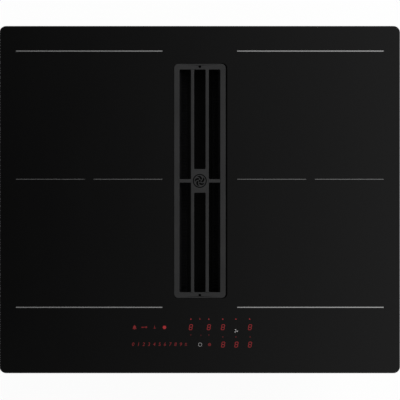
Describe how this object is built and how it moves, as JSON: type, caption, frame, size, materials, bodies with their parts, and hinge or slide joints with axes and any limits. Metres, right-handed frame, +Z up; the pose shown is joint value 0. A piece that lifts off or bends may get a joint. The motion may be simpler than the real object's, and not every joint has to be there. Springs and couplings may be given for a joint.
{
  "type": "downdraft induction cooktop",
  "caption": "Built-in induction hob with a central downdraft extractor: bevelled glass top, lift-out cast grille and grease filter, coil zones, and a blower case below with a flat duct outlet.",
  "frame": {"origin": "centre of the glass on the plane of the worktop, which is the underside of the rim seal", "axes": "+Z up through the glass, +Y away from the cook to the back, +X to the cook's right"},
  "size_m": [0.6, 0.52, 0.2105],
  "materials": {
    "black_glass": "polished ceramic glass, black",
    "foam": "closed-cell foam",
    "silicone": "matt silicone",
    "zinc_sheet": "galvanised sheet",
    "steel_screw": "zinc plated",
    "grille_iron": "fine cast surface, matt black",
    "pad_rubber": "matt",
    "filter_frame": "black satin",
    "filter_mesh": "dark anodised mesh",
    "duct_plastic": "moulded, matt",
    "gasket": "soft gasket",
    "copper": "lacquered copper litz wire",
    "former": "glass-filled moulding",
    "ferrite": "sintered, matt",
    "mica": "pressed mica sheet",
    "sensor_ceramic": "matt",
    "tray_aluminium": "rolled sheet",
    "spring_steel": "drawn wire",
    "board_green": "solder mask",
    "sink_aluminium": "extruded",
    "board_parts": "moulded parts",
    "post_plastic": "moulded",
    "fan_black": "moulded",
    "carrier_black": "moulded",
    "digit_module": "smoked window",
    "touch_spring": "plated",
    "terminal_body": "moulded",
    "cover_grey": "moulded",
    "gland_grey": "moulded",
    "claw_steel": "zinc plated",
    "case_black": "moulded, fine grain",
    "wheel_black": "moulded",
    "motor_steel": "plated",
    "stator": "laminated core on a cast plate",
    "bearing_steel": "ground",
    "bush_rubber": "matt",
    "plug_grey": "moulded"
  },
  "bodies": {
    "hob": {"glass_top": "black_glass", "rim_seal": "foam", "glass_bond_bead": "silicone", "glass_frame": "zinc_sheet", "casing_pan": "zinc_sheet", "casing_screws": "steel_screw", "inlet_duct": "duct_plastic", "duct_seal": "gasket", "duct_screws": "steel_screw", "coil_front_left": "copper", "coil_rear_left": "copper", "coil_front_right": "copper", "coil_rear_right": "copper", "coil_formers": "former", "ferrite_bars": "ferrite", "coil_insulators": "mica", "coil_sensors": "sensor_ceramic", "coil_tray_left": "tray_aluminium", "coil_tray_right": "tray_aluminium", "tray_springs": "spring_steel", "power_board_left": "board_green", "power_board_right": "board_green", "heatsink_left": "sink_aluminium", "heatsink_right": "sink_aluminium", "board_parts_left": "board_parts", "board_parts_right": "board_parts", "support_posts": "post_plastic", "fan_frame_left": "fan_black", "fan_frame_right": "fan_black", "control_carrier": "carrier_black", "control_board": "board_green", "display_digits": "digit_module", "touch_springs": "touch_spring", "terminal_block": "terminal_body", "terminal_cover": "cover_grey", "mains_gland": "gland_grey", "clamp_screws": "steel_screw", "blower_case_upper": "case_black", "blower_case_lower": "case_black", "scroll_cover": "case_black", "outlet_spigot": "case_black", "blower_case_screws": "steel_screw", "blower_stator": "stator", "motor_bearings": "bearing_steel", "motor_bushes": "bush_rubber", "drain_plug_seal": "gasket"},
    "filter": {"filter_basket": "filter_frame", "filter_mesh_left": "filter_mesh", "filter_mesh_right": "filter_mesh"},
    "grille": {"grille": "grille_iron", "grille_pads": "pad_rubber"},
    "blower_wheel": {"blower_impeller": "wheel_black", "blower_rotor": "motor_steel"},
    "fan_wheel_left": {"fan_rotor_left": "fan_black"},
    "fan_wheel_right": {"fan_rotor_right": "fan_black"},
    "claw_front_left": {"clamp_claw_front_left": "claw_steel"},
    "claw_front_right": {"clamp_claw_front_right": "claw_steel"},
    "claw_rear_left": {"clamp_claw_rear_left": "claw_steel"},
    "claw_rear_right": {"clamp_claw_rear_right": "claw_steel"},
    "drain_plug": {"drain_plug": "plug_grey"}
  },
  "joints": [
    {"name": "filter_lift", "type": "slide", "parent": "hob", "child": "filter", "axis": [0, 0, 1], "range_m": [0, 0.12]},
    {"name": "grille_lift", "type": "slide", "parent": "filter", "child": "grille", "axis": [0, 0, 1], "range_m": [0, 0.12]},
    {"name": "blower_spin", "type": "hinge", "parent": "hob", "child": "blower_wheel", "pos_m": [-0.015, 0.038, -0.1575], "axis": [0, 0, 1], "continuous": true},
    {"name": "fan_left_spin", "type": "hinge", "parent": "hob", "child": "fan_wheel_left", "pos_m": [-0.17, -0.188, -0.0455], "axis": [0, 0, 1], "continuous": true},
    {"name": "fan_right_spin", "type": "hinge", "parent": "hob", "child": "fan_wheel_right", "pos_m": [0.17, -0.188, -0.0455], "axis": [0, 0, 1], "continuous": true},
    {"name": "claw_front_left_swing", "type": "hinge", "parent": "hob", "child": "claw_front_left", "pos_m": [-0.264, -0.2095, -0.0465], "axis": [0, 0, 1], "range_deg": [0, 90]},
    {"name": "claw_rear_left_swing", "type": "hinge", "parent": "hob", "child": "claw_rear_left", "pos_m": [-0.264, 0.1705, -0.0465], "axis": [0, 0, 1], "range_deg": [0, 90]},
    {"name": "claw_front_right_swing", "type": "hinge", "parent": "hob", "child": "claw_front_right", "pos_m": [0.264, -0.2095, -0.0465], "axis": [0, 0, 1], "range_deg": [-90, 0]},
    {"name": "claw_rear_right_swing", "type": "hinge", "parent": "hob", "child": "claw_rear_right", "pos_m": [0.264, 0.1705, -0.0465], "axis": [0, 0, 1], "range_deg": [-90, 0]},
    {"name": "drain_plug_turn", "type": "hinge", "parent": "hob", "child": "drain_plug", "pos_m": [0.095, -0.122, -0.19], "axis": [0, 0, 1], "range_deg": [0, 90]}
  ]
}
